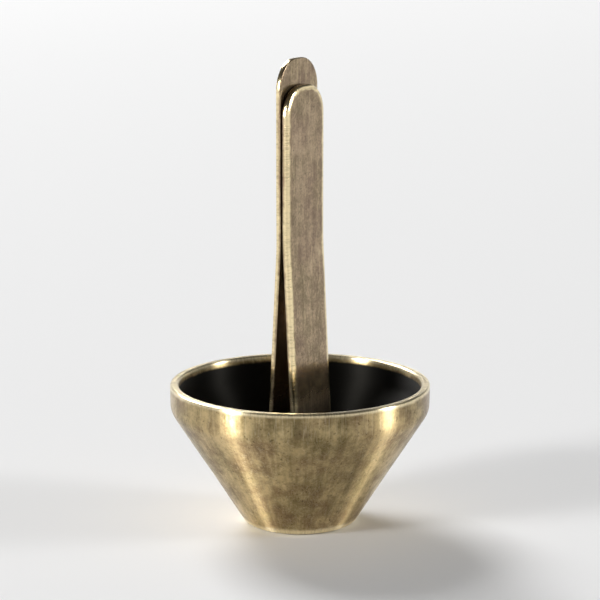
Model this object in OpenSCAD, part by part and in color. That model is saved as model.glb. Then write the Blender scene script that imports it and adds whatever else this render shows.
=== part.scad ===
// Split-leg rivet for leather, of the kind used as a bag foot.
// The head is a hollow cone drawn from thin sheet, standing on its small flat foot.
// One folded strip stands on the floor inside it. Its two legs come out through the
// wide mouth, go through a slit in the leather and are spread flat on the far side.

/* [Head] */
// Diameter of the head across the rim
head_d = 12; // [10:0.5:15]
// Height of the head, from the face of the foot to the rim
head_h = 6.6; // [5.6:0.1:8]
// Thickness of the sheet that the head is drawn from
wall = 0.4; // [0.25:0.05:0.5]

/* [Foot] */
// Diameter of the flat face that the head stands on
foot_d = 4.5; // [4:0.1:6]
// Radius inside the corner where the foot turns up into the cone
foot_inner_r = 0.1; // [0.05:0.05:0.5]

/* [Rim] */
// Height of the straight band below the rim
band_h = 0.9; // [0.4:0.05:1.4]
// Radius inside the shoulder where the cone turns into the band
shoulder_inner_r = 0.6; // [0.2:0.1:1.5]
// Rounding of the two edges of the cut rim
rim_edge_r = 0.1; // [0.02:0.02:0.12]

/* [Leg strip] */
// Width of the strip
strip_w = 3.1; // [2.6:0.1:3.4]
// Thickness of the strip
strip_t = 0.3; // [0.2:0.05:0.4]
// Width of the rolled edge that stamping leaves round the outer face
edge_roll_w = 0.35; // [0.1:0.05:0.5]
// Drop of the outer face over that rolled edge
edge_roll_t = 0.1; // [0.02:0.02:0.14]
// Distance across the outside of the two legs, just above the floor of the head
base_w = 2; // [1.8:0.1:2.6]
// Radius inside the two bends at the base of the strip
base_bend_r = 0.2; // [0.1:0.05:0.3]

/* [Legs] */
// Height above the rim where the two legs come together
meet_h = 6.5; // [4:0.1:8]
// Clearance left between the legs where they run side by side
leg_gap = 0.1; // [0.05:0.05:0.3]
// Radius of the outer face where a leg turns upright, a soft bend
meet_bend_r = 12; // [4:1:20]
// Reach of the longer leg above the rim
long_leg = 15; // [12:0.2:20]
// Difference in length between the two legs
leg_step = 1.2; // [0:0.1:2]
// Corner radius of the rounded leg tips
tip_r = 1.35; // [0.8:0.05:1.6]

/* [Drawing] */
// Turn of each flat that a small rounded corner is drawn with, in degrees
corner_flat = 7.5; // [5:2.5:15]

/* [Hidden] */

// Facets of the turned surfaces
$fn = 144;
// Colours of the aged bronze finish
head_colour = "#86714c";
strip_colour = "#94805c";

// Radii on the outside of the drawn corners
head_r = head_d / 2;
foot_r = foot_d / 2;
foot_outer_r = foot_inner_r + wall;
shoulder_outer_r = shoulder_inner_r + wall;

// Centres of the foot's corner and of the shoulder, as radius and height
foot_c = [foot_r, foot_outer_r];
shoulder_c = [head_r - shoulder_outer_r, head_h - band_h];

// Direction that the outside of the cone faces, from the line that touches both corners
cone_v = shoulder_c - foot_c;
cone_turn = acos((foot_outer_r - shoulder_outer_r) / norm(cone_v));
cone_face = atan2(cone_v.y, cone_v.x) - cone_turn;

// Centre of a base bend of the strip. The strip stands on the floor of the head
base_c = [base_w / 2 - strip_t - base_bend_r, wall + strip_t + base_bend_r];
base_mid_r = base_bend_r + strip_t / 2;

// Point on the middle of a leg where it stops leaning and turns upright
meet_pt = [(leg_gap + strip_t) / 2, head_h + meet_h];
meet_v = base_c - meet_pt;

// Lean of each leg, from the line that starts at the base bend and ends at that point
lean = atan(-meet_v.x / meet_v.y) + asin(base_mid_r / norm(meet_v));

// Centre of the soft bend, outside the leg
meet_mid_r = meet_bend_r + strip_t / 2;
meet_c = meet_pt + meet_mid_r * [1, tan(lean / 2)];

// Heights of the two tips
long_tip = head_h + long_leg;
short_tip = long_tip - leg_step;

// Least length of straight edge left across the end of a tip, which limits its corners
tip_land = 0.1;
tip_corner_r = min(tip_r, (strip_w - tip_land) / 2);

// Unit vector in a direction
function toward(angle) = [cos(angle), sin(angle)];

// Directions along a turn, in equal steps of no more than one flat
function turns(from, to) =
    let (flats = max(2, ceil(abs(to - from) / corner_flat)))
    [for (i = [0:flats]) from + (to - from) * i / flats];

// Points along an arc about a centre, from one direction to another
function arc(centre, radius, from, to) =
    [for (angle = turns(from, to)) centre + radius * toward(angle)];

// The same list in the opposite order
function backwards(list) = [for (i = [len(list) - 1:-1:0]) list[i]];

// One skin of the head, from the axis to the shoulder, set in from the outside
function head_skin(inset) = concat(
    [[0, inset]],
    arc(foot_c, foot_outer_r - inset, -90, cone_face),
    arc(shoulder_c, shoulder_outer_r - inset, cone_face, 0));

// Section of the cut rim, rounded on both edges, from the outside to the inside
function rim_section() =
    let (edge_h = head_h - rim_edge_r)
    concat(
        arc([head_r - rim_edge_r, edge_h], rim_edge_r, 0, 90),
        arc([head_r - wall + rim_edge_r, edge_h], rim_edge_r, 90, 180));

// Half section of the head, turned round its axis
function head_section() = concat(
    head_skin(0),
    rim_section(),
    backwards(head_skin(wall)));

// The strip is drawn as rows of points across it, from one tip down to the base and up
// to the other. A station says where a row stands: the middle of the strip seen edge
// on, the direction that its outer face looks, half of its width there, and how far
// the edge of the strip has turned round the tip.
function leg_stations(tip) = concat(
    [for (a = turns(-90, lean))
        [base_c + base_mid_r * toward(a), a, strip_w / 2, 0]],
    [for (a = turns(180 + lean, 180))
        [meet_c + meet_mid_r * toward(a), a - 180, strip_w / 2, 0]],
    [for (a = turns(0, 90))
        [[meet_pt.x, tip - tip_corner_r + tip_corner_r * sin(a)], 0,
         strip_w / 2 - tip_corner_r + tip_corner_r * cos(a), a]]);

// Section of one edge of the strip, as distance in from the edge and offset from the
// middle of the thickness: square on the inner face and rolled on the outer one
function edge_section() = concat(
    [[0, -strip_t / 2]],
    [for (a = [0:22.5:90])
        [edge_roll_w * (1 - cos(a)), strip_t / 2 - edge_roll_t * (1 - sin(a))]]);

// Points of one edge at a station. The side is 1 or -1
function edge_points(station, side) =
    let (out = toward(station[1]), up = toward(station[1] + 90))
    [for (e = edge_section())
        let (p = station[0] + e[1] * out - e[0] * sin(station[3]) * up)
        [p.x, side * (station[2] - e[0] * cos(station[3])), p.y]];

// A row goes out along one edge and back along the other
function row(station) = concat(
    edge_points(station, 1),
    backwards(edge_points(station, -1)));

function leg_rows(tip) = [for (station = leg_stations(tip)) row(station)];

// The same rows on the other side of the middle, from the tip down
function other_leg(rows) =
    [for (one_row = backwards(rows)) [for (p = one_row) [-p.x, p.y, p.z]]];

// The drawn head, one piece of sheet
module head_shell() {
    color(head_colour)
        rotate_extrude()
            polygon(head_section());
}

// The folded strip with its two legs, one piece
module leg_strip() {
    rows = concat(other_leg(leg_rows(long_tip)), leg_rows(short_tip));
    across = len(rows[0]);
    last = (len(rows) - 1) * across;
    skin = [for (i = [0:len(rows) - 2], j = [0:across - 1])
        let (a = i * across, b = (j + 1) % across)
        [a + j, a + b, a + across + b, a + across + j]];
    first_tip = [for (j = [0:across / 2 - 2])
        [across - 1 - j, across - 2 - j, j + 1, j]];
    last_tip = [for (j = [0:across / 2 - 2])
        [last + j, last + j + 1, last + across - 2 - j, last + across - 1 - j]];
    color(strip_colour)
        polyhedron([for (one_row = rows) each one_row], concat(skin, first_tip, last_tip));
}

head_shell();
leg_strip();
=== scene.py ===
# %% [markdown]
# A rivet for leather, from its sheet metal to its picture.
#
# The real object has two pieces of thin metal. The head is a hollow cone, pressed from
# one round of sheet, that stands on a small flat foot. A strip with two legs is folded
# like a hairpin and stands inside it. The maker pushes both legs through a slit in the
# leather and spreads them flat behind it.
#
# Each step below says what a piece or a finish is on the real object, how it could be
# made in Blender, and why it is made this way here. All lengths are in metres.

import math

import bmesh
import bpy
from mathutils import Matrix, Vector


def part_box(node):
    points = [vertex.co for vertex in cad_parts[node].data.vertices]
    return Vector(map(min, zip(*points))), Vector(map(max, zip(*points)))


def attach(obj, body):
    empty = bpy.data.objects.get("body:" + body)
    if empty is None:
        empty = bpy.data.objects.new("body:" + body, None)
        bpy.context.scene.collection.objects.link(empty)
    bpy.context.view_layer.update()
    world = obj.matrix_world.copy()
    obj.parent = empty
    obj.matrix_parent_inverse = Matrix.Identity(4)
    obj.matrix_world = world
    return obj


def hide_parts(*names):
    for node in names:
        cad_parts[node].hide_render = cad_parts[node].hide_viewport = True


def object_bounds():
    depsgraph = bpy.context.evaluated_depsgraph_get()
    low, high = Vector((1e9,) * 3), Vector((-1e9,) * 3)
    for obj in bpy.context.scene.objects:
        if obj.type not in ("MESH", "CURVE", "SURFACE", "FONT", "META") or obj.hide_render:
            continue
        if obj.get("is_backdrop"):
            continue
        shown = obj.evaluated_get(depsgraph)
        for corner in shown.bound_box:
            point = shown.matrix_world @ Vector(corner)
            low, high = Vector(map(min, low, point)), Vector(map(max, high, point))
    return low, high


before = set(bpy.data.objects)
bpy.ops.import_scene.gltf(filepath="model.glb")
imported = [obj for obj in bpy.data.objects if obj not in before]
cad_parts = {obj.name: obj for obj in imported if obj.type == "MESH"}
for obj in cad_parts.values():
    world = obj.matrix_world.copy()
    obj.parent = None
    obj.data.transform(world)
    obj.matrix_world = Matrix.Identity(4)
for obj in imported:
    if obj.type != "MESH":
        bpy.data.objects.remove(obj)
cad_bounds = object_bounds()
head_low, head_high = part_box("head_shell")
strip_low, strip_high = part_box("leg_strip")

# %% [markdown]
# Sizes of the head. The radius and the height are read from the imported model. It is
# turned in flats, so its box is a hair narrower one way, and the least radius keeps the
# smooth head inside it. A box can't tell the thickness of a sheet or the radius of a
# bend, so those few are written here as real sizes.

# %% Sizes of the head
MM = 0.001

head_r = min(head_high.x, -head_low.x, head_high.y, -head_low.y)
head_h = head_high.z
wall = 0.4 * MM
foot_r = 2.25 * MM
foot_inner_r = 0.1 * MM
band_h = 0.9 * MM
shoulder_inner_r = 0.6 * MM
rim_edge_r = 0.1 * MM
print("head %.1f mm across, %.1f mm high" % (2 * head_r / MM, head_h / MM))

# %% [markdown]
# Camera. The picture looks slightly down on the standing rivet, far enough round to one
# side that the width of a leg shows as well as its thin edges. A long lens from a
# distance keeps the sides of the cone straight, where a short one would swell it.

# %% Camera
CAMERA_AZIMUTH = math.radians(33)
CAMERA_ELEVATION = math.radians(12)
CAMERA_LENS_MM = 150
SENSOR_MM = 36
FRAME_HEIGHT = 27.5 * MM
AIM_SHARE = 0.485  # height of the picture's middle, as a share of the rivet's
NEAREST_SEEN = 1 * MM
FARTHEST_SEEN = 5.0


def towards(azimuth, elevation):
    """Unit vector to a place round the object. Azimuth 0 is the side of -Y."""
    level = math.cos(elevation)
    return Vector((math.sin(azimuth) * level, -math.cos(azimuth) * level,
                   math.sin(elevation)))


def add_object(name, data):
    """An object in the scene, for a mesh, a lamp or a camera."""
    made = bpy.data.objects.new(name, data)
    bpy.context.scene.collection.objects.link(made)
    return made


def look_at(viewer, aim, back, distance):
    """Stand a camera or a lamp off its aim and turn it to face that."""
    viewer.location = aim + back * distance
    viewer.rotation_euler = (-back).to_track_quat("-Z", "Y").to_euler()


def add_camera(aim):
    """A square picture is as wide as the sensor, so that width sets the distance."""
    data = bpy.data.cameras.new("camera")
    data.lens = CAMERA_LENS_MM
    data.sensor_width = SENSOR_MM
    data.clip_start = NEAREST_SEEN
    data.clip_end = FARTHEST_SEEN
    camera = add_object("camera", data)
    distance = FRAME_HEIGHT * CAMERA_LENS_MM / SENSOR_MM
    look_at(camera, aim, towards(CAMERA_AZIMUTH, CAMERA_ELEVATION), distance)
    bpy.context.scene.camera = camera
    return distance


long_tip = strip_high.z
camera_distance = add_camera(Vector((0, 0, AIM_SHARE * long_tip)))
print("camera %.0f mm away" % (camera_distance / MM))

# %% [markdown]
# Node helpers. A node tree written out in full hides its own idea. These helpers let a
# line say what a node does: `put` adds a node and fills its inputs with values or links,
# `maths` and `vectors` add one step of arithmetic, and `ramp` turns a range of values
# into a soft mask.

# %% Node helpers
NOISE_MIDDLE = 0.5


def fill(tree, socket, value):
    """Give an input a plain value, or link it to another node's output."""
    if isinstance(value, bpy.types.NodeSocket):
        tree.links.new(value, socket)
    else:
        socket.default_value = value


def put(tree, kind, inputs=None, **settings):
    """Add a node, set its settings, then fill its inputs by name or number."""
    node = tree.nodes.new(kind)
    node.location = (200 * len(tree.nodes), 0)
    for name, value in settings.items():
        setattr(node, name, value)
    for name, value in (inputs or {}).items():
        fill(tree, node.inputs[name], value)
    return node


def maths(tree, operation, *values):
    """One step of arithmetic on numbers."""
    return put(tree, "ShaderNodeMath", dict(enumerate(values)),
               operation=operation).outputs[0]


def vectors(tree, operation, *values):
    """One step of arithmetic on vectors."""
    return put(tree, "ShaderNodeVectorMath", dict(enumerate(values)),
               operation=operation).outputs[0]


def split(tree, vector):
    """The parts of a vector, named X, Y and Z."""
    return put(tree, "ShaderNodeSeparateXYZ", {0: vector}).outputs


def joined(tree, **parts):
    """A vector made of X, Y and Z. A part that isn't given is 0."""
    return put(tree, "ShaderNodeCombineXYZ", parts).outputs[0]


def ramp(tree, value, none, full):
    """A mask that is 0 at one value and 1 at the other, eased between them."""
    return put(tree, "ShaderNodeMapRange",
               {"Value": value, "From Min": none, "From Max": full},
               interpolation_type="SMOOTHSTEP").outputs[0]


def swing(tree, noise_value):
    """How far a noise lies above or below its middle."""
    return maths(tree, "SUBTRACT", noise_value, NOISE_MIDDLE)


print("a noise swings round", NOISE_MIDDLE)

# %% [markdown]
# Node groups. A group is a tree with inputs and outputs of its own. A Geometry Nodes
# modifier runs one on a mesh, and a material places one as a single node. Every input
# gets a name, so that a group can be used again with other values.

# %% Node groups
def new_socket(tree, label, side, kind):
    """An input or output of a group, such as a Float or a Geometry."""
    return tree.interface.new_socket(label, in_out=side, socket_type="NodeSocket" + kind)


def new_group(name, tree_type, inputs, outputs):
    """An empty node group. Inputs are name: (kind of socket, start value)."""
    tree = bpy.data.node_groups.new(name, tree_type)
    for label, (kind, start) in inputs.items():
        made = new_socket(tree, label, "INPUT", kind)
        if start is not None:
            made.default_value = start
    for label, kind in outputs.items():
        new_socket(tree, label, "OUTPUT", kind)
    given = put(tree, "NodeGroupInput").outputs
    return tree, given, put(tree, "NodeGroupOutput").inputs


print("groups so far:", len(bpy.data.node_groups))

# %% [markdown]
# Lines and arcs. The real head is pressed from a round of sheet, so every section
# through its axis is the same. It is drawn as one section of straight lines and arcs
# and then turned. A curve object could hold them, but points worked out in code follow
# each size exactly and lie evenly, as the dents that come later need.

# %% Lines and arcs
ARC_STEP = math.radians(6)
LINE_STEP = 0.16 * MM


def polar(angle, radius):
    """A point at a direction and distance, seen in a plane."""
    return Vector((math.cos(angle), math.sin(angle))) * radius


def arc(centre, radius, start, stop):
    """Points along a turn about a centre, both ends included."""
    count = max(2, math.ceil(abs(stop - start) / ARC_STEP))
    steps = [start + (stop - start) * i / count for i in range(count + 1)]
    return [centre + polar(angle, radius) for angle in steps]


def filled_in(points):
    """The same line with points added where two of them lie far apart."""
    result = [points[0]]
    for start, stop in zip(points, points[1:]):
        count = max(1, math.ceil((stop - start).length / LINE_STEP))
        result += [start.lerp(stop, i / count) for i in range(1, count + 1)]
    return result


print("arcs turn by %.0f degrees a step" % math.degrees(ARC_STEP))

# %% [markdown]
# The section of the head. Drawn sheet keeps its thickness round every bend, so the
# inner skin is the outer one set in by the wall, with arcs about the same centres at the
# foot and the shoulder. The cone is the line that touches both arcs, so its lean follows
# from them. The rim is where the sheet was cut.

# %% Section of the head
foot_c = Vector((foot_r, foot_inner_r + wall))
shoulder_c = Vector((head_r - shoulder_inner_r - wall, head_h - band_h))
cone_line = shoulder_c - foot_c
cone_face = (math.atan2(cone_line.y, cone_line.x)
             - math.acos((foot_inner_r - shoulder_inner_r) / cone_line.length))


def head_skin(inset):
    """One skin of the sheet, from the axis to the shoulder, as radius and height."""
    return (
        [Vector((0, inset))]
        + arc(foot_c, foot_inner_r + wall - inset, math.radians(-90), cone_face)
        + arc(shoulder_c, shoulder_inner_r + wall - inset, cone_face, 0))


def rim_section():
    """The cut edge of the sheet, rounded on both sides."""
    height = head_h - rim_edge_r
    outer = Vector((head_r - rim_edge_r, height))
    inner = Vector((head_r - wall + rim_edge_r, height))
    quarter = math.radians(90)
    return (arc(outer, rim_edge_r, 0, quarter)
            + arc(inner, rim_edge_r, quarter, 2 * quarter))


outer_skin = filled_in(head_skin(0))
inner_skin = filled_in(head_skin(wall))
rim = rim_section()
section = filled_in(outer_skin + rim + inner_skin[::-1])
print("section of the head: %d points, cone leans %.1f degrees"
      % (len(section), -math.degrees(cone_face)))

# %% [markdown]
# Where the finish wears, and where it is darkened inside. Plating and dark patina rub off
# where the object is touched: on the rim and on the corner of the foot. The inside is
# never touched and keeps its dark oxide, and it is painted almost black over that, as
# painted shade in the hollow. A painted mask could say so, but both facts belong to places
# on the section, so each of its points gets two numbers, `wear` and `inside`, that the
# mesh will carry.

# %% Marks on the section
RIM_WEAR = 0.34 * MM
FOOT_WEAR = 0.52 * MM
FOOT_WORN_AT = math.radians(-50)  # the direction that the most worn place faces
# Depths below the rim at which the painted shade inside starts and is full
INSIDE_START = 0.1 * MM
INSIDE_FULL = 0.5 * MM

foot_corner = foot_c + polar(FOOT_WORN_AT, foot_inner_r + wall)


def fade(distance, reach):
    """1 at no distance and 0 at the reach, eased at both ends."""
    share = min(1, max(0, 1 - distance / reach))
    return share * share * (3 - 2 * share)


def head_wear(point):
    """How worn a point of the head is."""
    rim_part = fade(head_h - point.y, RIM_WEAR)
    foot_part = fade((point - foot_corner).length, FOOT_WEAR)
    return max(rim_part, foot_part)


# Painted shade: the inner skin grows almost black below the rim, over the hollow's dark
# oxide.
def head_inside(index, point):
    """How far a point of the inner skin lies within the head, from 0 to 1."""
    if index < len(outer_skin) + len(rim) // 2:
        return 0
    depth = head_h - point.y
    return 1 - fade(depth - INSIDE_START, INSIDE_FULL - INSIDE_START)


section_wear = [head_wear(p) for p in section]
section_inside = [head_inside(i, p) for i, p in enumerate(section)]
print("worn points of the section:", sum(share > 0 for share in section_wear))

# %% [markdown]
# The section as a mesh. A mesh may have edges without faces, and its points can carry
# numbers under a name, called attributes. That is all that the lathe needs: its tree
# asks the mesh for the place and the marks of a point by its number.

# %% Section as a mesh
def line_object(name, points, marks):
    """A mesh of edges only, drawn upright, with number attributes on its points."""
    mesh = bpy.data.meshes.new(name)
    edges = [(i, i + 1) for i in range(len(points) - 1)]
    mesh.from_pydata([(p.x, 0, p.y) for p in points], edges, [])
    for label, values in marks.items():
        attribute = mesh.attributes.new(label, "FLOAT", "POINT")
        attribute.data.foreach_set("value", values)
    return add_object(name, mesh)


head = line_object("bronze_head", section,
                   {"wear": section_wear, "inside": section_inside})
print("section mesh:", len(head.data.vertices), "points")

# %% [markdown]
# Steps of a geometry tree. The head and the legs each get a tree, and both read values,
# move points, keep marks and end alike: with smooth faces, Realize Instances and Set
# Material, so that what leaves a tree is plain mesh with its finish on.

# %% Steps of a geometry tree
def position(tree):
    """The place of the point that is being worked on."""
    return put(tree, "GeometryNodeInputPosition").outputs[0]


def named(tree, label):
    """A number attribute, read by its name."""
    return put(tree, "GeometryNodeInputNamedAttribute", {"Name": label},
               data_type="FLOAT").outputs["Attribute"]


def sampled(tree, source, value, index, kind):
    """A value of one point of the source."""
    return put(tree, "GeometryNodeSampleIndex",
               {"Geometry": source, "Value": value, "Index": index},
               data_type=kind, domain="POINT").outputs["Value"]


def moved(tree, geometry, **where):
    """Move every point to a Position, or by an Offset."""
    return put(tree, "GeometryNodeSetPosition",
               {"Geometry": geometry, **where}).outputs[0]


def stored(tree, geometry, label, value):
    """Keep a number on every point under a name."""
    return put(tree, "GeometryNodeStoreNamedAttribute",
               {"Geometry": geometry, "Name": label, "Value": value},
               data_type="FLOAT", domain="POINT").outputs["Geometry"]


def finished(tree, geometry, material):
    """The end of every tree: smooth faces, plain mesh, and the finish."""
    smooth = put(tree, "GeometryNodeSetShadeSmooth", {"Geometry": geometry})
    plain = put(tree, "GeometryNodeRealizeInstances", {"Geometry": smooth.outputs[0]})
    return put(tree, "GeometryNodeSetMaterial",
               {"Geometry": plain.outputs[0], "Material": material}).outputs[0]


print("tree steps: position, named, sampled, moved, stored, finished")

# %% [markdown]
# Dents. Thin pressed sheet is never quite true, and its reflections waver. Bump could
# fake that, but the outline would stay perfect, so the mesh itself moves, by a few
# hundredths of a millimetre. Each place moves straight towards the axis, so both skins
# move together and the sheet keeps its thickness. The dents fade out at the foot and
# the rim, which the press leaves flat and round.

# %% Dents
DENT_DETAIL = 1.5
DENT_ROUGHNESS = 0.45
# Shares of the head's height between which the dents come in and go out
DENTS_START, DENTS_FULL = 0.08, 0.35
DENTS_FADE, DENTS_END = 0.8, 1.0


def dent_sheet(tree, geometry, given):
    """Press slight dents into the wall, towards the axis only."""
    place = position(tree)
    dents = put(tree, "ShaderNodeTexNoise",
                {"Vector": place, "W": given["Dent seed"],
                 "Scale": maths(tree, "DIVIDE", 1, given["Dent size"]),
                 "Detail": DENT_DETAIL, "Roughness": DENT_ROUGHNESS},
                noise_dimensions="4D").outputs["Fac"]
    share = maths(tree, "DIVIDE", split(tree, place)["Z"], given["Height"])
    kept = maths(tree, "MULTIPLY",
                 ramp(tree, share, DENTS_START, DENTS_FULL),
                 ramp(tree, share, DENTS_END, DENTS_FADE))
    depth = maths(tree, "MULTIPLY", kept,
                  maths(tree, "MULTIPLY", dents, given["Dent depth"]))
    inward = vectors(tree, "NORMALIZE", vectors(tree, "MULTIPLY", place, (-1, -1, 0)))
    return moved(tree, geometry, Offset=vectors(tree, "MULTIPLY", inward, depth))


print("dents are full from %.1f to %.1f mm up"
      % (DENTS_FULL * head_h / MM, DENTS_FADE * head_h / MM))

# %% [markdown]
# The lathe as a node tree. A grid has one column for each point of the section and one
# row for each step of the turn. Every point of the grid looks up its radius, its height
# and its marks with Sample Index, and goes to its own angle. A Screw modifier could turn
# the section too, but this tree also carries its marks and presses the dents. Merge by
# Distance closes the seam and both poles.

# %% Lathe tree
MERGE_DISTANCE = 0.0005 * MM


def lathe_grid(tree, source, steps):
    """The grid, the number of the section's point that a column reads, and the angle
    that a row is turned to. The grid is 1 wide and lies about its middle."""
    points = put(tree, "GeometryNodeAttributeDomainSize", {"Geometry": source},
                 component="MESH").outputs["Point Count"]
    rows = maths(tree, "ADD", steps, 1)
    grid = put(tree, "GeometryNodeMeshGrid",
               {"Size X": 1, "Size Y": 1, "Vertices X": points, "Vertices Y": rows})
    place = split(tree, position(tree))
    across = maths(tree, "ADD", place["X"], 0.5)
    last = maths(tree, "SUBTRACT", points, 1)
    index = maths(tree, "ROUND", maths(tree, "MULTIPLY", across, last))
    turn = maths(tree, "ADD", place["Y"], 0.5)
    return grid.outputs["Mesh"], index, maths(tree, "MULTIPLY", turn, 2 * math.pi)


def turned_place(tree, source, index, angle):
    """Where a point of the section stands once it is turned to an angle."""
    spot = split(tree, sampled(tree, source, position(tree), index, "FLOAT_VECTOR"))
    outward = joined(tree, X=maths(tree, "COSINE", angle), Y=maths(tree, "SINE", angle))
    return vectors(tree, "MULTIPLY_ADD", outward, spot["X"], joined(tree, Z=spot["Z"]))


def lathe_tree():
    tree, given, result = new_group(
        "turn_section", "GeometryNodeTree",
        {"Section": ("Geometry", None),
         "Steps": ("Int", 240),
         "Height": ("Float", 0.0),
         "Dent depth": ("Float", 0.0),
         "Dent size": ("Float", 1.0),
         "Dent seed": ("Float", 0.0),
         "Finish": ("Material", None)},
        {"Geometry": "Geometry"})
    tree.is_modifier = True
    source = given["Section"]
    sheet, index, angle = lathe_grid(tree, source, given["Steps"])
    turned = turned_place(tree, source, index, angle)
    for label in ("wear", "inside"):
        mark = sampled(tree, source, named(tree, label), index, "FLOAT")
        sheet = stored(tree, sheet, label, mark)
    closed = put(tree, "GeometryNodeMergeByDistance",
                 {"Geometry": moved(tree, sheet, Position=turned),
                  "Distance": MERGE_DISTANCE}).outputs[0]
    dented = dent_sheet(tree, closed, given)
    fill(tree, result["Geometry"], finished(tree, dented, given["Finish"]))
    return tree


turn_section = lathe_tree()
print("lathe tree:", len(turn_section.nodes), "nodes")

# %% [markdown]
# Sizes of the leg strip. The real strip is stamped flat, with rounded ends, and the die
# rolls its outer edges over slightly and leaves a small burr on the inner ones. Then it
# is folded into a flat base and two legs, which lean in until they meet. Its width and
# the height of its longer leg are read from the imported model, and the rest is stated.

# %% Sizes of the strip
strip_w = strip_high.y - strip_low.y
strip_t = 0.3 * MM
edge_roll_w = 0.35 * MM
edge_roll_t = 0.1 * MM
burr_r = 0.04 * MM
base_w = 2.0 * MM
base_bend_r = 0.2 * MM
meet_h = 6.5 * MM
leg_gap = 0.1 * MM
meet_bend_r = 12 * MM
leg_step = 1.2 * MM
tip_r = 1.35 * MM
short_tip = long_tip - leg_step
print("strip %.1f mm wide, tips at %.1f and %.1f mm"
      % (strip_w / MM, long_tip / MM, short_tip / MM))

# %% [markdown]
# The path of the fold. The maker stamps a flat blank and folds it, and so does the
# lesson. The path is the middle of the metal seen edge on, from one tip down to the base
# and up to the other. The bent strip could be modelled directly, but a flat blank is
# easier to mark and to round at the tips.

# %% Path of the fold
base_c = Vector((base_w / 2 - strip_t - base_bend_r, wall + strip_t + base_bend_r))
base_mid_r = base_bend_r + strip_t / 2
meet_pt = Vector(((leg_gap + strip_t) / 2, head_h + meet_h))
meet_line = base_c - meet_pt
lean = math.atan(-meet_line.x / meet_line.y) + math.asin(base_mid_r / meet_line.length)
meet_mid_r = meet_bend_r + strip_t / 2
meet_c = meet_pt + Vector((1, math.tan(lean / 2))) * meet_mid_r


def leg_path(tip):
    """Middle of one leg seen edge on, from the base to its tip."""
    half_turn = math.pi
    return (
        arc(base_c, base_mid_r, -half_turn / 2, lean)
        + arc(meet_c, meet_mid_r, half_turn + lean, half_turn)
        + [Vector((meet_pt.x, tip))])


long_side = [Vector((-p.x, p.y)) for p in leg_path(long_tip)][::-1]
fold_path = long_side + leg_path(short_tip)
path_length = sum((b - a).length for a, b in zip(fold_path, fold_path[1:]))
fold_line = line_object("fold_line", fold_path, {})
print("strip %.1f mm long, legs lean %.1f degrees"
      % (path_length / MM, math.degrees(lean)))

# %% [markdown]
# Rows of the blank. Its x runs along the strip, y across it and z through its
# thickness, with the outer face up. A row is one closed loop round the metal. Near the
# ends the rows shrink and turn with the rounded tip, so that the rolled edge runs round
# it unbroken. A bevelled box would be quicker, but its edge would break at the tips.

# %% Rows of the blank
ROW_STEP = 0.07 * MM
TIP_TURNS = 22
FLAT_PARTS = 14
# Directions, in degrees, at which the burr and the rolled edge get a point
BURR_TURNS = (270, 247.5, 225, 202.5, 180)
ROLL_TURNS = (0, 11, 22, 34, 46, 58, 69, 80, 90)


def edge_section():
    """One edge of the strip, as distance in from the edge and height."""
    burr_c = Vector((burr_r, burr_r - strip_t / 2))
    under = [burr_c + polar(math.radians(a), burr_r) for a in BURR_TURNS]
    over = [Vector((edge_roll_w * (1 - math.cos(math.radians(a))),
                    strip_t / 2 - edge_roll_t * (1 - math.sin(math.radians(a)))))
            for a in ROLL_TURNS]
    return under + over


def stations():
    """Where each row lies: place along the strip, half width, turn round the tip."""
    turns = [math.radians(90 * (1 - i / TIP_TURNS)) for i in range(TIP_TURNS)]
    half = strip_w / 2
    near = [(tip_r * (1 - math.sin(a)), half - tip_r * (1 - math.cos(a)), a)
            for a in turns]
    straight = path_length - 2 * tip_r
    count = round(straight / ROW_STEP)
    middle = [(tip_r + straight * i / count, half, 0) for i in range(count + 1)]
    far = [(path_length - x, w, -a) for x, w, a in reversed(near)]
    return near + middle + far


def blank_row(x, half, turn, edge):
    """One loop round the metal: an edge, the outer face, the other edge, the inner."""
    side = [Vector((x + e.x * math.sin(turn), half - e.x * math.cos(turn), e.y))
            for e in edge]
    other = [Vector((p.x, -p.y, p.z)) for p in reversed(side)]
    outer = [side[-1].lerp(other[0], i / FLAT_PARTS) for i in range(1, FLAT_PARTS)]
    inner = [other[-1].lerp(side[0], i / FLAT_PARTS) for i in range(1, FLAT_PARTS)]
    return side + outer + other + inner


edge = edge_section()
rows = [blank_row(x, half, turn, edge) for x, half, turn in stations()]
print("blank: %d rows of %d points" % (len(rows), len(rows[0])))

# %% [markdown]
# Wear of the blank. The rolled corner of the strip is rubbed brightest, and the cut side
# grows darker from there to the inner face. The flat faces keep their patina. As on the
# head, each point carries this as a number.

# %% Wear of the blank
EDGE_FLAT = 0.08 * MM
EDGE_WEAR = 0.3 * MM
SIDE_WEAR = 0.28


def edge_wear(point):
    """How worn a point of the edge is."""
    if point.y <= 0:
        return SIDE_WEAR
    return fade(max(0, point.x - EDGE_FLAT), EDGE_WEAR)


side_marks = [edge_wear(p) for p in edge]
flat_marks = [0] * (FLAT_PARTS - 1)
row_marks = side_marks + flat_marks + side_marks[::-1] + flat_marks
print("wear across one edge:", [round(mark, 2) for mark in side_marks])

# %% [markdown]
# The blank as a mesh. Faces join each row to the next, and the two outermost rows are
# closed by faces from edge to edge. A grid with a bevel could look the same, but bmesh
# adds each point by itself, so that it takes its own wear with it.

# %% Flat blank
def ring_of(mesh, row, layer):
    """The points of one row, each with its wear."""
    ring = [mesh.verts.new(point) for point in row]
    for vertex, mark in zip(ring, row_marks):
        vertex[layer] = mark
    return ring


def join_rings(mesh, ring, after):
    """Faces between two rows, all the way round."""
    for i in range(len(ring)):
        j = (i + 1) % len(ring)
        mesh.faces.new((ring[i], ring[j], after[j], after[i]))


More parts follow.
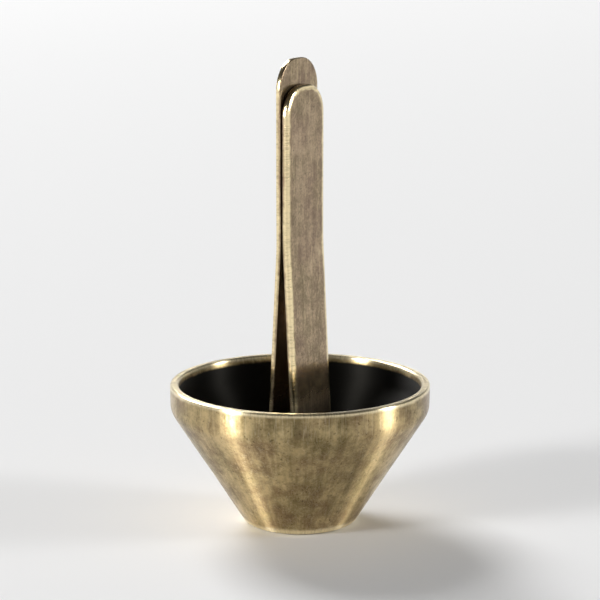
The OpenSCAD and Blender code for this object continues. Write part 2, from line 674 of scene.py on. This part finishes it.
def close_ring(mesh, ring):
    """Faces across an outermost row, from its one edge to the other."""
    count = len(edge)
    far = count + FLAT_PARTS - 1
    side, outer = ring[:count], ring[count:far]
    other, inner = ring[far:far + count], ring[far + count:]
    for i in range(1, count - 2):
        mesh.faces.new((side[i], side[i + 1], other[-2 - i], other[-1 - i]))
    mesh.faces.new(inner + side[:2] + other[-2:])
    mesh.faces.new(side[-2:] + outer + other[:2])


def flat_blank():
    """The stamped strip before it is folded, as a closed mesh."""
    mesh = bmesh.new()
    layer = mesh.verts.layers.float.new("wear")
    rings = [ring_of(mesh, row, layer) for row in rows]
    for ring, after in zip(rings, rings[1:]):
        join_rings(mesh, ring, after)
    for ring in (rings[0], rings[-1]):
        close_ring(mesh, ring)
    bmesh.ops.recalc_face_normals(mesh, faces=mesh.faces)
    data = bpy.data.meshes.new("bronze_legs")
    mesh.to_mesh(data)
    mesh.free()
    return add_object("bronze_legs", data)


legs = flat_blank()
print("blank: %d points, %d faces" % (len(legs.data.vertices), len(legs.data.polygons)))

# %% [markdown]
# The fold as a node tree. Sample Curve finds the place and the direction of the path at
# a given length. A point of the blank keeps its place across the strip, takes its place
# along it from the path, and stands off that by its height. The inner corner of a bend
# presses together and the outer one stretches, as in the real metal. A slow wave is
# added along the legs, because thin strip never stays quite straight.

# %% Fold tree
WAVE_DETAIL = 0.5
# Heights against the rim between which a leg grows dark, above it and below it. The dark
# is painted shade inside the head, over the dark oxide that the unrubbed part keeps.
LEG_LIT_ABOVE = 0.6 * MM
LEG_DARK_BELOW = 2.2 * MM


def wavy_height(tree, flat, given):
    """How far a point stands off the path: its height on the blank and the wave."""
    along = maths(tree, "DIVIDE", flat["X"], given["Wave size"])
    waves = put(tree, "ShaderNodeTexNoise",
                {"W": maths(tree, "ADD", along, given["Wave seed"]),
                 "Scale": 1.0, "Detail": WAVE_DETAIL}, noise_dimensions="1D")
    bow = swing(tree, waves.outputs["Fac"])
    return maths(tree, "MULTIPLY_ADD", bow, given["Wave"], flat["Z"])


def folded_place(tree, given):
    """Where a point of the flat blank goes when the strip is folded."""
    flat = split(tree, position(tree))
    info = put(tree, "GeometryNodeObjectInfo", {"Object": given["Path"]})
    curve = put(tree, "GeometryNodeMeshToCurve", {"Mesh": info.outputs["Geometry"]})
    path = put(tree, "GeometryNodeSampleCurve",
               {"Curves": curve.outputs[0], "Length": flat["X"]},
               mode="LENGTH", use_all_curves=True).outputs
    outward = vectors(tree, "CROSS_PRODUCT", (0, 1, 0), path["Tangent"])
    centre = vectors(tree, "ADD", path["Position"], joined(tree, Y=flat["Y"]))
    return vectors(tree, "MULTIPLY_ADD", outward, wavy_height(tree, flat, given), centre)


def fold_tree():
    tree, given, result = new_group(
        "fold_along_path", "GeometryNodeTree",
        {"Blank": ("Geometry", None),
         "Path": ("Object", None),
         "Rim height": ("Float", 0.0),
         "Wave": ("Float", 0.0),
         "Wave size": ("Float", 1.0),
         "Wave seed": ("Float", 0.0),
         "Finish": ("Material", None)},
        {"Geometry": "Geometry"})
    tree.is_modifier = True
    folded = moved(tree, given["Blank"], Position=folded_place(tree, given))
    # Painted shade: the legs are darkened below the rim, where the head's hollow shades
    # them.
    height = split(tree, position(tree))["Z"]
    depth = maths(tree, "SUBTRACT", given["Rim height"], height)
    inside = ramp(tree, depth, -LEG_LIT_ABOVE, LEG_DARK_BELOW)
    marked = stored(tree, folded, "inside", inside)
    fill(tree, result["Geometry"], finished(tree, marked, given["Finish"]))
    return tree


fold_along_path = fold_tree()
print("fold tree:", len(fold_along_path.nodes), "nodes")

# %% [markdown]
# Running the trees. A Geometry Nodes modifier only shows its result. To hand over a
# plain mesh, the evaluated object is turned into a mesh of its own, and the modifier
# goes. The inputs are set by the identifier of their socket, because two sockets may
# share a name. The last step makes every face look outwards.

# %% Running the trees
def set_inputs(modifier, values):
    """Give the tree's inputs their values, by name."""
    for item in modifier.node_group.interface.items_tree:
        if item.item_type == "SOCKET" and item.in_out == "INPUT" and item.name in values:
            modifier[item.identifier] = values[item.name]


def face_outwards(mesh):
    """Turn every face outwards, and count the open edges and measure the volume."""
    work = bmesh.new()
    work.from_mesh(mesh)
    bmesh.ops.recalc_face_normals(work, faces=work.faces)
    open_edges = sum(not border.is_manifold for border in work.edges)
    volume = work.calc_volume(signed=True)
    work.to_mesh(mesh)
    work.free()
    return open_edges, volume


def run_tree(piece, tree, values):
    """Shape the piece by the tree, then keep the result as a plain mesh."""
    modifier = piece.modifiers.new(tree.name, "NODES")
    modifier.node_group = tree
    set_inputs(modifier, values)
    shown = piece.evaluated_get(bpy.context.evaluated_depsgraph_get())
    mesh = bpy.data.meshes.new_from_object(shown)
    piece.modifiers.remove(modifier)
    piece.data = mesh
    mesh.name = piece.name
    open_edges, volume = face_outwards(mesh)
    print("%s: %d faces, %d open edges, %.1f mm3"
          % (piece.name, len(mesh.polygons), open_edges, volume / MM ** 3))


head_finish = bpy.data.materials.new("head_bronze")
leg_finish = bpy.data.materials.new("leg_bronze")
run_tree(head, turn_section,
         {"Steps": 288, "Height": head_h, "Dent depth": 0.03 * MM,
          "Dent size": 3.2 * MM, "Dent seed": 4.0, "Finish": head_finish})
run_tree(legs, fold_along_path,
         {"Path": fold_line, "Rim height": head_h, "Wave": 0.03 * MM,
          "Wave size": 6 * MM, "Wave seed": 2.0, "Finish": leg_finish})
bpy.data.objects.remove(fold_line)

# %% [markdown]
# Tools for a finish. A finish is built from a few noises and from blends that they
# steer. A painted texture would need an unwrapped surface. Noise read from object
# coordinates needs none, and its size is given here in real lengths.

# %% Noise and blends
def scaled(tree, place, scale):
    """A place made larger, so that a pattern read there comes out smaller."""
    return put(tree, "ShaderNodeVectorMath", {0: place, "Scale": scale},
               operation="SCALE").outputs[0]


def noise(tree, place, size, detail=2.0, roughness=0.5):
    """Noise in space whose blotches are about as large as the size, from 0 to 1."""
    return put(tree, "ShaderNodeTexNoise",
               {"Vector": scaled(tree, place, 1 / size), "Scale": 1.0,
                "Detail": detail, "Roughness": roughness},
               noise_dimensions="3D").outputs["Fac"]


def blend(tree, share, first, second):
    """A colour between two colours. The Mix node has its colours at 6 and 7."""
    return put(tree, "ShaderNodeMix", {0: share, 6: first, 7: second},
               data_type="RGBA").outputs[2]


def between(tree, share, first, second):
    """A number between two numbers, which the same node has at 2 and 3."""
    return put(tree, "ShaderNodeMix", {0: share, 2: first, 3: second},
               data_type="FLOAT").outputs[0]


print("tools for a finish: scaled, noise, blend, between")

# %% [markdown]
# Bronze patina. The real metal is brass, plated, darkened in a bath and rubbed back. The
# dark stays in soft blotches, in a fine grain, in small pits and in faint streaks along
# the way the tools moved. Each is one noise at its own size. They are added to one sum,
# and the sum picks the colour, so that blotch and grain thicken each other as real
# patina does. The bath itself turns out olive in some places and redder in others.
# Both pieces have this finish, so it is a group that each material sets its own way.

# %% Patina group
BROAD_SIZE = 2.4 * MM
MOTTLE_SIZE = 0.75 * MM
GRAIN_SIZE = 0.12 * MM
PIT_SIZE = 0.17 * MM
RED_SIZE = 1.5 * MM
BROAD_SHARE = 0.6
GRAIN_RELIEF = 0.55
MOTTLE_RELIEF = 0.6
PATINA_TONES = ("Rubbed", "Aged", "Reddened", "Stained")
PATINA_VALUES = ("Age", "Mottle", "Grain", "Streaks", "Specks")
# The values at which each mask starts and is full
PITS = (0.66, 0.76)
RED_PLACES = (0.4, 0.66)
AGED_PLACES = (0.12, 0.72)
STAINED_PLACES = (0.62, 1.05)


def patina_group():
    tree, given, result = new_group(
        "bronze_patina", "ShaderNodeTree",
        {"Place": ("Vector", None),
         "Streak place": ("Vector", None),
         **{label: ("Color", None) for label in PATINA_TONES},
         **{label: ("Float", 0.5) for label in PATINA_VALUES}},
        {"Colour": "Color", "Dark": "Float", "Relief": "Float"})
    place = given["Place"]
    broad = noise(tree, place, BROAD_SIZE)
    mottle = noise(tree, place, MOTTLE_SIZE, detail=4.0, roughness=0.62)
    grain = noise(tree, place, GRAIN_SIZE, detail=3.0, roughness=0.6)
    streak = noise(tree, given["Streak place"], 1.0, detail=3.0, roughness=0.6)
    total = given["Age"]
    for part, amount in ((broad, BROAD_SHARE), (mottle, given["Mottle"]),
                         (grain, given["Grain"]), (streak, given["Streaks"])):
        total = maths(tree, "MULTIPLY_ADD", swing(tree, part), amount, total)
    pits = ramp(tree, noise(tree, place, PIT_SIZE, detail=1.0), *PITS)
    total = maths(tree, "MULTIPLY_ADD", pits, given["Specks"], total)
    aged = ramp(tree, total, *AGED_PLACES)
    stained = ramp(tree, total, *STAINED_PLACES)
    red = ramp(tree, noise(tree, place, RED_SIZE), *RED_PLACES)
    bath = blend(tree, red, given["Aged"], given["Reddened"])
    colour = blend(tree, aged, given["Rubbed"], bath)
    fill(tree, result["Colour"], blend(tree, stained, colour, given["Stained"]))
    fill(tree, result["Dark"], aged)
    raised = maths(tree, "MULTIPLY", mottle, MOTTLE_RELIEF)
    fill(tree, result["Relief"], maths(tree, "MULTIPLY_ADD", grain, GRAIN_RELIEF, raised))
    return tree


bronze_patina = patina_group()
print("patina group:", len(bronze_patina.nodes), "nodes")

# %% [markdown]
# Worn edges. Where the metal is rubbed through, a pale bright line shows. The mesh says
# how worn each place is, but a clean edge of that mask would look painted. Two noises,
# a fine one and a broad one, break it up, as real rubbing catches some places only.

# %% Worn edge group
RUBS = ((0.3 * MM, 4.0), (2.2 * MM, 1.0))  # size and detail of each noise
WORN_THROUGH = (0.2, 0.95)


def worn_group():
    tree, given, result = new_group(
        "worn_edge", "ShaderNodeTree",
        {"Place": ("Vector", None),
         "Wear": ("Float", 0.0),
         "Breakup": ("Float", 0.4)},
        {"Worn": "Float"})
    total = given["Wear"]
    for size, detail in RUBS:
        rub = swing(tree, noise(tree, given["Place"], size, detail))
        total = maths(tree, "MULTIPLY_ADD", rub, given["Breakup"], total)
    fill(tree, result["Worn"], ramp(tree, total, *WORN_THROUGH))
    return tree


worn_edge = worn_group()
print("worn edge group:", len(worn_edge.nodes), "nodes")

# %% [markdown]
# Shear marks and scratches. The shears leave fine lines across the edge that they cut,
# which hold some of the dark, so they show only where an edge is worn. Handling leaves
# scratches in all directions. Both are far too fine to model. Each is noise stretched a
# long way in one direction, and of a scratch only a thin band of that noise is kept.

# %% Groups of fine lines
SHEAR_LINES = (0.46, 0.68)
SCRATCH_TURNS = ((0.3, 0.5, 0.2), (1.1, -0.4, 0.9), (-0.6, 1.3, 0.4))
SCRATCH_STRETCH = 0.035
SCRATCH_LEVEL = 0.62


def shear_group():
    tree, given, result = new_group(
        "shear_marks", "ShaderNodeTree",
        {"Place": ("Vector", None),
         "Wear": ("Float", 0.0)},
        {"Mark": "Float"})
    lines = noise(tree, given["Place"], 1.0, detail=3.0, roughness=0.65)
    lines = ramp(tree, lines, *SHEAR_LINES)
    fill(tree, result["Mark"], maths(tree, "MULTIPLY", lines, given["Wear"]))
    return tree


def scratches_along(tree, turn, scale, given):
    """Thin lines along the Z axis turned by three angles."""
    turned = put(tree, "ShaderNodeMapping",
                 {"Vector": given["Place"], "Rotation": turn,
                  "Scale": (1, 1, SCRATCH_STRETCH)}).outputs[0]
    lines = put(tree, "ShaderNodeTexNoise",
                {"Vector": scaled(tree, turned, scale), "Scale": 1.0,
                 "Detail": 0.0}).outputs["Fac"]
    off_line = maths(tree, "ABSOLUTE", maths(tree, "SUBTRACT", lines, SCRATCH_LEVEL))
    return put(tree, "ShaderNodeMapRange",
               {"Value": off_line, "From Min": 0.0, "From Max": given["Width"],
                "To Min": 1.0, "To Max": 0.0}).outputs[0]


def scratch_group():
    tree, given, result = new_group(
        "fine_scratches", "ShaderNodeTree",
        {"Place": ("Vector", None),
         "Size": ("Float", 0.2 * MM),
         "Width": ("Float", 0.02)},
        {"Scratch": "Float"})
    scale = maths(tree, "DIVIDE", 1.0, given["Size"])
    first, *others = [scratches_along(tree, turn, scale, given) for turn in SCRATCH_TURNS]
    for lines in others:
        first = maths(tree, "MAXIMUM", first, lines)
    fill(tree, result["Scratch"], first)
    return tree


shear_marks = shear_group()
fine_scratches = scratch_group()
print("line groups:", len(shear_marks.nodes), "and", len(fine_scratches.nodes), "nodes")

# %% [markdown]
# Masks of a piece. A material places the shared groups with its own values and reads
# the marks from its mesh. Four masks come out: worn through, marked by the shears,
# scratched, and dark inside. The dark inside is the hollow's dark oxide deepened by
# painted shade. It gets a ragged border, because no real finish stops at a clean line.

# %% Masks of a piece
RAGGED_SIZE = 0.5 * MM
RAGGED_SHARE = 0.35
OXIDE_AND_SHADE_PLACES = (0.15, 0.75)


def mark(tree, label):
    """A number that the mesh carries, read by its name."""
    return put(tree, "ShaderNodeAttribute", attribute_name=label,
               attribute_type="GEOMETRY").outputs["Fac"]


def masks_of(tree, place, shear_place, values):
    """Where the metal is worn, sheared, scratched and inside, each from 0 to 1."""
    wear = mark(tree, "wear")
    worn = put(tree, "ShaderNodeGroup",
               {"Place": place, "Wear": wear, "Breakup": values["Breakup"]},
               node_tree=worn_edge).outputs["Worn"]
    shear = put(tree, "ShaderNodeGroup",
                {"Place": shear_place(tree, place), "Wear": wear},
                node_tree=shear_marks).outputs["Mark"]
    scratch = put(tree, "ShaderNodeGroup", {"Place": place},
                  node_tree=fine_scratches).outputs["Scratch"]
    # The dark inside: dark oxide and painted shade, with a ragged border.
    ragged = swing(tree, noise(tree, place, RAGGED_SIZE, detail=3.0))
    depth = maths(tree, "MULTIPLY_ADD", ragged, RAGGED_SHARE, mark(tree, "inside"))
    oxide_and_shade = ramp(tree, depth, *OXIDE_AND_SHADE_PLACES)
    return worn, shear, scratch, maths(tree, "MULTIPLY", oxide_and_shade, values["Inside"])


print("ragged border: noise of %.1f mm" % (RAGGED_SIZE / MM))

# %% [markdown]
# The bronze material. Its colour is laid on in the order that the real one came about:
# patina, bare worn edges, dark lines in the cut edge, bright scratches, and over all the
# dark inside, which is the hollow's dark oxide deepened by painted shade. Where the metal
# is dark it is a little less metallic and less smooth, and a thin clear coat covers all
# but the inside.
#
# The head was polished while it turned, so its finest scratches run round it. They are
# far too small to model, but they spread each reflection across themselves, and a lamp
# becomes one upright light from foot to rim. Bump can't do that at this size. The
# Anisotropic input does, with a Tangent that points up, the way the light is drawn out.
# The shader stays here and not in a group, so that the export can read it.

# %% Bronze material
SHEAR_DARK = 0.4
SCRATCH_BRIGHT = 0.22
SHEAR_RELIEF = -0.5
SCRATCH_RELIEF = -0.35
DARK_METALLIC = 0.88
INSIDE_METALLIC = 0.9
INSIDE_ROUGHNESS = 0.6
COAT = 0.3
COAT_ROUGHNESS = 0.1


def layered(tree, patina, masks, tones):
    """The colour, from the patina up to the dark inside of oxide and painted shade."""
    worn, shear, scratch, inside = masks
    colour = blend(tree, worn, patina["Colour"], tones["Bare"])
    lines = maths(tree, "MULTIPLY", shear, SHEAR_DARK)
    colour = blend(tree, lines, colour, tones["Aged"])
    lines = maths(tree, "MULTIPLY", scratch, SCRATCH_BRIGHT)
    colour = blend(tree, lines, colour, tones["Bare"])
    return blend(tree, inside, colour, tones["Hollow"])


def bronze(material, streak_place, shear_place, tones, values):
    """Fill a material: patina, worn edges, scratches and the dark inside."""
    material.use_nodes = True
    tree = material.node_tree
    shader = tree.nodes["Principled BSDF"].inputs
    place = put(tree, "ShaderNodeTexCoord").outputs["Object"]
    patina = put(tree, "ShaderNodeGroup",
                 {"Place": place, "Streak place": streak_place(tree, place),
                  **{label: tones[label] for label in PATINA_TONES},
                  **{label: values[label] for label in PATINA_VALUES}},
                 node_tree=bronze_patina).outputs
    masks = masks_of(tree, place, shear_place, values)
    worn, shear, scratch, inside = masks
    fill(tree, shader["Base Color"], layered(tree, patina, masks, tones))

    dark = maths(tree, "MULTIPLY", patina["Dark"], maths(tree, "SUBTRACT", 1.0, worn))
    rough = between(tree, dark, values["Smooth"], values["Rough"])
    fill(tree, shader["Roughness"], between(tree, inside, rough, INSIDE_ROUGHNESS))
    metal = between(tree, dark, 1.0, DARK_METALLIC)
    fill(tree, shader["Metallic"], between(tree, inside, metal, INSIDE_METALLIC))
    fill(tree, shader["Coat Weight"], between(tree, inside, COAT, 0.0))
    fill(tree, shader["Coat Roughness"], COAT_ROUGHNESS)
    fill(tree, shader["Anisotropic"], values["Turned"])
    fill(tree, shader["Tangent"], joined(tree, Z=1.0))

    relief = maths(tree, "MULTIPLY_ADD", scratch, SCRATCH_RELIEF, patina["Relief"])
    relief = maths(tree, "MULTIPLY_ADD", shear, SHEAR_RELIEF, relief)
    bump = put(tree, "ShaderNodeBump",
               {"Height": relief, "Distance": values["Relief"], "Strength": 1.0})
    fill(tree, shader["Normal"], bump.outputs["Normal"])
    return len(tree.nodes)


print("materials so far:", len(bpy.data.materials))

# %% [markdown]
# The finish of the head. Its streaks run from foot to rim, so they are read mostly from
# the direction off the axis and only a little from the height. Read from X, Y and Z
# alone, they would be straight lines in space, which do not lean in with the cone.

# %% Head finish
def round_the_axis(turns, rise):
    """Lines from foot to rim, read mostly by direction off the axis."""
    def place_of(tree, place):
        level = vectors(tree, "MULTIPLY", place, (1, 1, 0))
        direction = vectors(tree, "NORMALIZE", level)
        height = vectors(tree, "MULTIPLY", place, (0, 0, rise))
        return vectors(tree, "MULTIPLY_ADD", direction, (turns, turns, 0), height)
    return place_of


# Hollow is the near-black of the inside: dark oxide, made darker as painted shade.
head_tones = {
    "Rubbed": (0.66, 0.5, 0.25, 1), "Aged": (0.25, 0.187, 0.077, 1),
    "Reddened": (0.27, 0.18, 0.083, 1), "Stained": (0.07, 0.05, 0.021, 1),
    "Bare": (0.96, 0.82, 0.53, 1), "Hollow": (0.012, 0.011, 0.009, 1)}
head_nodes = bronze(
    head_finish, round_the_axis(turns=14, rise=260), round_the_axis(turns=70, rise=900),
    head_tones,
    {"Age": 0.46, "Mottle": 1.0, "Grain": 0.4, "Streaks": 0.6, "Specks": 0.25,
     "Breakup": 0.5, "Inside": 1.0, "Smooth": 0.29, "Rough": 0.42,
     "Turned": 1.0, "Relief": 0.0012 * MM})
print(head_finish.name, "has", head_nodes, "nodes")

# %% [markdown]
# The finish of the legs. The same bronze, but duller and greyer, because the strip was
# never polished on a lathe. Its streaks run along it, as it came from the rolling mill,
# and the marks of the shears run across its edges. Both are noise in plain space, drawn
# out upwards for the streaks and sideways for the shear marks.

# %% Leg finish
def stretched(across, along):
    """Lines on the legs: finer in the direction that has the larger number."""
    def place_of(tree, place):
        return vectors(tree, "MULTIPLY", place, (across, across, along))
    return place_of


# Hollow is the near-black of the legs inside the head: dark oxide, made darker as painted
# shade.
leg_tones = {
    "Rubbed": (0.47, 0.35, 0.225, 1), "Aged": (0.205, 0.148, 0.076, 1),
    "Reddened": (0.225, 0.15, 0.092, 1), "Stained": (0.062, 0.046, 0.025, 1),
    "Bare": (0.92, 0.76, 0.45, 1), "Hollow": (0.03, 0.026, 0.02, 1)}
leg_nodes = bronze(
    leg_finish, stretched(across=3600, along=200), stretched(across=1500, along=14000),
    leg_tones,
    {"Age": 0.5, "Mottle": 1.0, "Grain": 0.7, "Streaks": 0.6, "Specks": 0.25,
     "Breakup": 0.8, "Inside": 0.75, "Smooth": 0.13, "Rough": 0.26,
     "Turned": 0.0, "Relief": 0.0022 * MM})
print(leg_finish.name, "has", leg_nodes, "nodes")

# %% [markdown]
# The floor. Goods like this are pictured on white. A pale matt round is enough, because
# the picture looks down on it, and it shows the rivet's soft shadow and no lamp. Its
# own colour makes it pale. More light could, but it would wash out the metal.

# %% Floor
FLOOR_RADIUS = 0.45
FLOOR_SIDES = 96
FLOOR_FINISH = {"Base Color": (0.82, 0.82, 0.82, 1), "Roughness": 0.9,
                "Specular IOR Level": 0.2}


def add_floor():
    """A round pale floor that fills the picture."""
    turns = [math.tau * i / FLOOR_SIDES for i in range(FLOOR_SIDES)]
    mesh = bpy.data.meshes.new("floor")
    mesh.from_pydata([polar(a, FLOOR_RADIUS).to_3d() for a in turns], [],
                     [range(len(turns))])
    pale = bpy.data.materials.new("pale_floor")
    pale.use_nodes = True
    shader = pale.node_tree.nodes["Principled BSDF"].inputs
    for label, value in FLOOR_FINISH.items():
        shader[label].default_value = value
    mesh.materials.append(pale)
    floor = add_object("floor", mesh)
    floor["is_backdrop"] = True


add_floor()
print("floor %.0f mm across" % (2 * FLOOR_RADIUS / MM))

# %% [markdown]
# The air round the rivet. Bare metal has little colour of its own and looks like what
# it mirrors. The flat rim and the leg tips mirror the part of the room near the floor,
# so it is pale there, and it is dim overhead. One even tone would be simpler, but it
# would lift the dark tones. Light Path makes the pale part a backdrop to the camera and
# in reflections, a little brighter than it lights the rest.

# %% Air
AIR_OVERHEAD = 0.07
AIR_NEAR_FLOOR = 0.5
AIR_SEEN = 0.8
# Heights of a direction between which the air turns pale. Straight up is 1
AIR_DIM_ABOVE, AIR_PALE_BELOW = 0.34, 0.2


def add_world():
    """Soft light from all round, brighter to the camera and to mirrors."""
    world = bpy.data.worlds.new("studio_air")
    world.use_nodes = True
    tree = world.node_tree
    direction = put(tree, "ShaderNodeTexCoord").outputs["Generated"]
    low = ramp(tree, split(tree, direction)["Z"], AIR_DIM_ABOVE, AIR_PALE_BELOW)
    path = put(tree, "ShaderNodeLightPath").outputs
    mirrored = maths(tree, "MAXIMUM", path["Is Glossy Ray"], path["Is Transmission Ray"])
    seen = maths(tree, "MAXIMUM", path["Is Camera Ray"], mirrored)
    near_floor = between(tree, seen, AIR_NEAR_FLOOR, AIR_SEEN)
    background = tree.nodes["Background"].inputs
    background["Color"].default_value = (1, 1, 1, 1)
    fill(tree, background["Strength"], between(tree, low, AIR_OVERHEAD, near_floor))
    bpy.context.scene.world = world


add_world()
print("air:", AIR_OVERHEAD, "overhead and", AIR_NEAR_FLOOR, "near the floor")

# %% [markdown]
# The lamps. A tall lamp low on each side draws one upright light down the cone, brighter
# on the left. A third, from behind, lights the floor and lays a soft shadow in front,
# which the cone mirrors as its dark middle. They are large flat softboxes, because
# polished metal shows the shape of a lamp, and a small one would be a hard dot.

# %% Lamps
LAMP_DISTANCE = 1.5


def add_softbox(name, azimuth, elevation, width, height, glow):
    """A rectangular lamp that faces the object. Its angles are in degrees, the first
    one round from the camera, and glow is how bright its face looks."""
    data = bpy.data.lights.new(name, "AREA")
    data.shape = "RECTANGLE"
    data.size = width
    data.size_y = height
    data.energy = glow * math.pi * width * height
    lamp = add_object(name, data)
    lamp.visible_camera = False
    back = towards(CAMERA_AZIMUTH + math.radians(azimuth), math.radians(elevation))
    look_at(lamp, Vector((0, 0, 0)), back, LAMP_DISTANCE)


add_softbox("left", azimuth=-62, elevation=14, width=0.3, height=0.7, glow=30.0)
add_softbox("right", azimuth=84, elevation=14, width=0.275, height=0.7, glow=19.0)
add_softbox("back", azimuth=-152, elevation=38, width=0.625, height=0.625, glow=17.0)
bpy.context.scene.view_settings.view_transform = "Standard"
print("lamps:", [lamp.name for lamp in bpy.data.lights])

# %% [markdown]
# Hand over. The rivet moves as one body, so both meshes ride on the root. Each takes the
# place of one node of the imported model, which is hidden. The two boxes, the model's and
# the picture's, are printed. The picture's pieces must stay inside the model's outer
# size.

# %% Hand over
for piece, node, slot in ((head, "head_shell", "head_finish"),
                          (legs, "leg_strip", "leg_finish")):
    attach(piece, "root")
    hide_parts(node)

visual_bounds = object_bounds()
for label, corners in (("model", cad_bounds), ("picture", visual_bounds)):
    print(label, [round(v / MM, 3) for corner in corners for v in corner])
